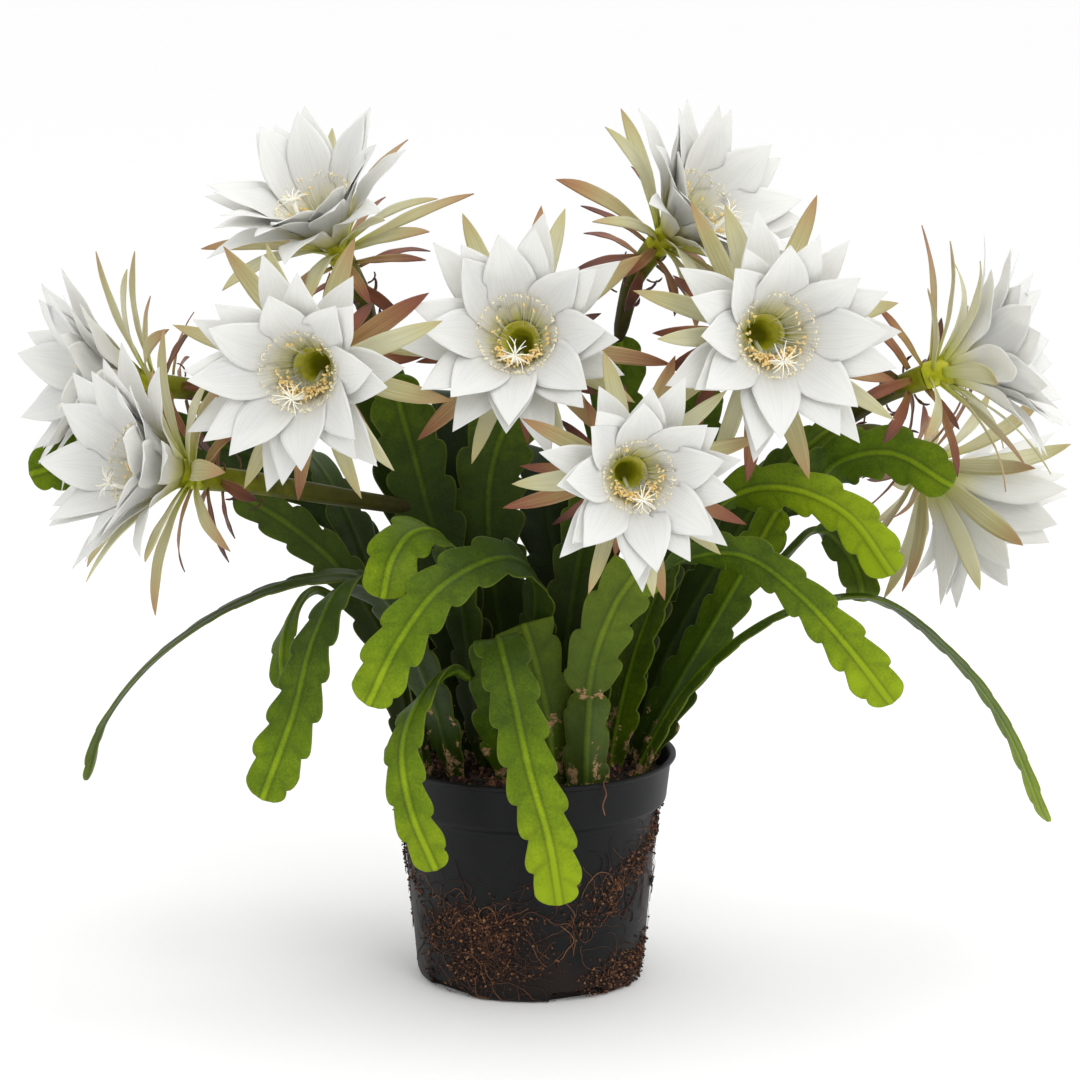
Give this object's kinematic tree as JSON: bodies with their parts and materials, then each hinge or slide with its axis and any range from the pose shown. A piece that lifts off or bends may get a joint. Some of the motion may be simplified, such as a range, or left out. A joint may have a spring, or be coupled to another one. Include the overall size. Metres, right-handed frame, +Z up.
{
  "type": "potted orchid cactus",
  "caption": "Round nursery pot of substrate with flat, scalloped, arching stems and large white many-petalled flowers on curved tubes.",
  "frame": {"origin": "centre of the underside of the pot, on the surface it stands on", "axes": "+Z up along the pot's axis, +X to the right seen from the front, -Y to the front, which the flowers face"},
  "size_m": [0.6857, 0.3367, 0.5605],
  "materials": {
    "pot": "moulded charcoal plastic, satin, with fine roots and crumbs of substrate stuck to it",
    "soil": "loose dark brown bark and peat substrate",
    "stem": "waxy green skin, brighter on young hanging stems, corky near the foot",
    "petal": "soft translucent white, green-yellow towards the throat",
    "flower_tube": "green-brown tube with cream-green and pink-brown narrow outer petals",
    "stamen": "cream filaments with yellow anthers round a white style"
  },
  "bodies": {
    "root": {"pot": "pot", "soil": "soil", "stem_front_hanging": "stem", "stem_left_big": "stem", "stem_mid_left": "stem", "stem_short_left": "stem", "stem_right_mid": "stem", "stem_right_up": "stem", "stem_right_broad": "stem", "stem_right_dark": "stem", "stem_long_right": "stem", "stem_long_left": "stem", "stem_base_centre": "stem", "stem_base_left": "stem", "stem_bearer_01": "stem", "stem_bearer_02": "stem", "stem_bearer_03": "stem", "stem_bearer_05": "stem", "stem_bearer_06": "stem", "stem_bearer_07": "stem", "stem_bearer_08": "stem", "stem_bearer_09": "stem", "stem_bearer_10": "stem", "stem_upper_left": "stem", "stem_back_left": "stem", "stem_back_centre": "stem", "stem_back_right": "stem", "stem_pot_left_hanging": "stem", "stem_left_behind": "stem", "stem_right_under": "stem", "flower_01_petals": "petal", "flower_01_tube": "flower_tube", "flower_01_stamens": "stamen", "flower_02_petals": "petal", "flower_02_tube": "flower_tube", "flower_02_stamens": "stamen", "flower_03_petals": "petal", "flower_03_tube": "flower_tube", "flower_03_stamens": "stamen", "flower_04_petals": "petal", "flower_04_tube": "flower_tube", "flower_04_stamens": "stamen", "flower_05_petals": "petal", "flower_05_tube": "flower_tube", "flower_05_stamens": "stamen", "flower_06_petals": "petal", "flower_06_tube": "flower_tube", "flower_06_stamens": "stamen", "flower_07_petals": "petal", "flower_07_tube": "flower_tube", "flower_07_stamens": "stamen", "flower_08_petals": "petal", "flower_08_tube": "flower_tube", "flower_08_stamens": "stamen", "flower_09_petals": "petal", "flower_09_tube": "flower_tube", "flower_09_stamens": "stamen", "flower_10_petals": "petal", "flower_10_tube": "flower_tube", "flower_10_stamens": "stamen"}
  },
  "joints": []
}
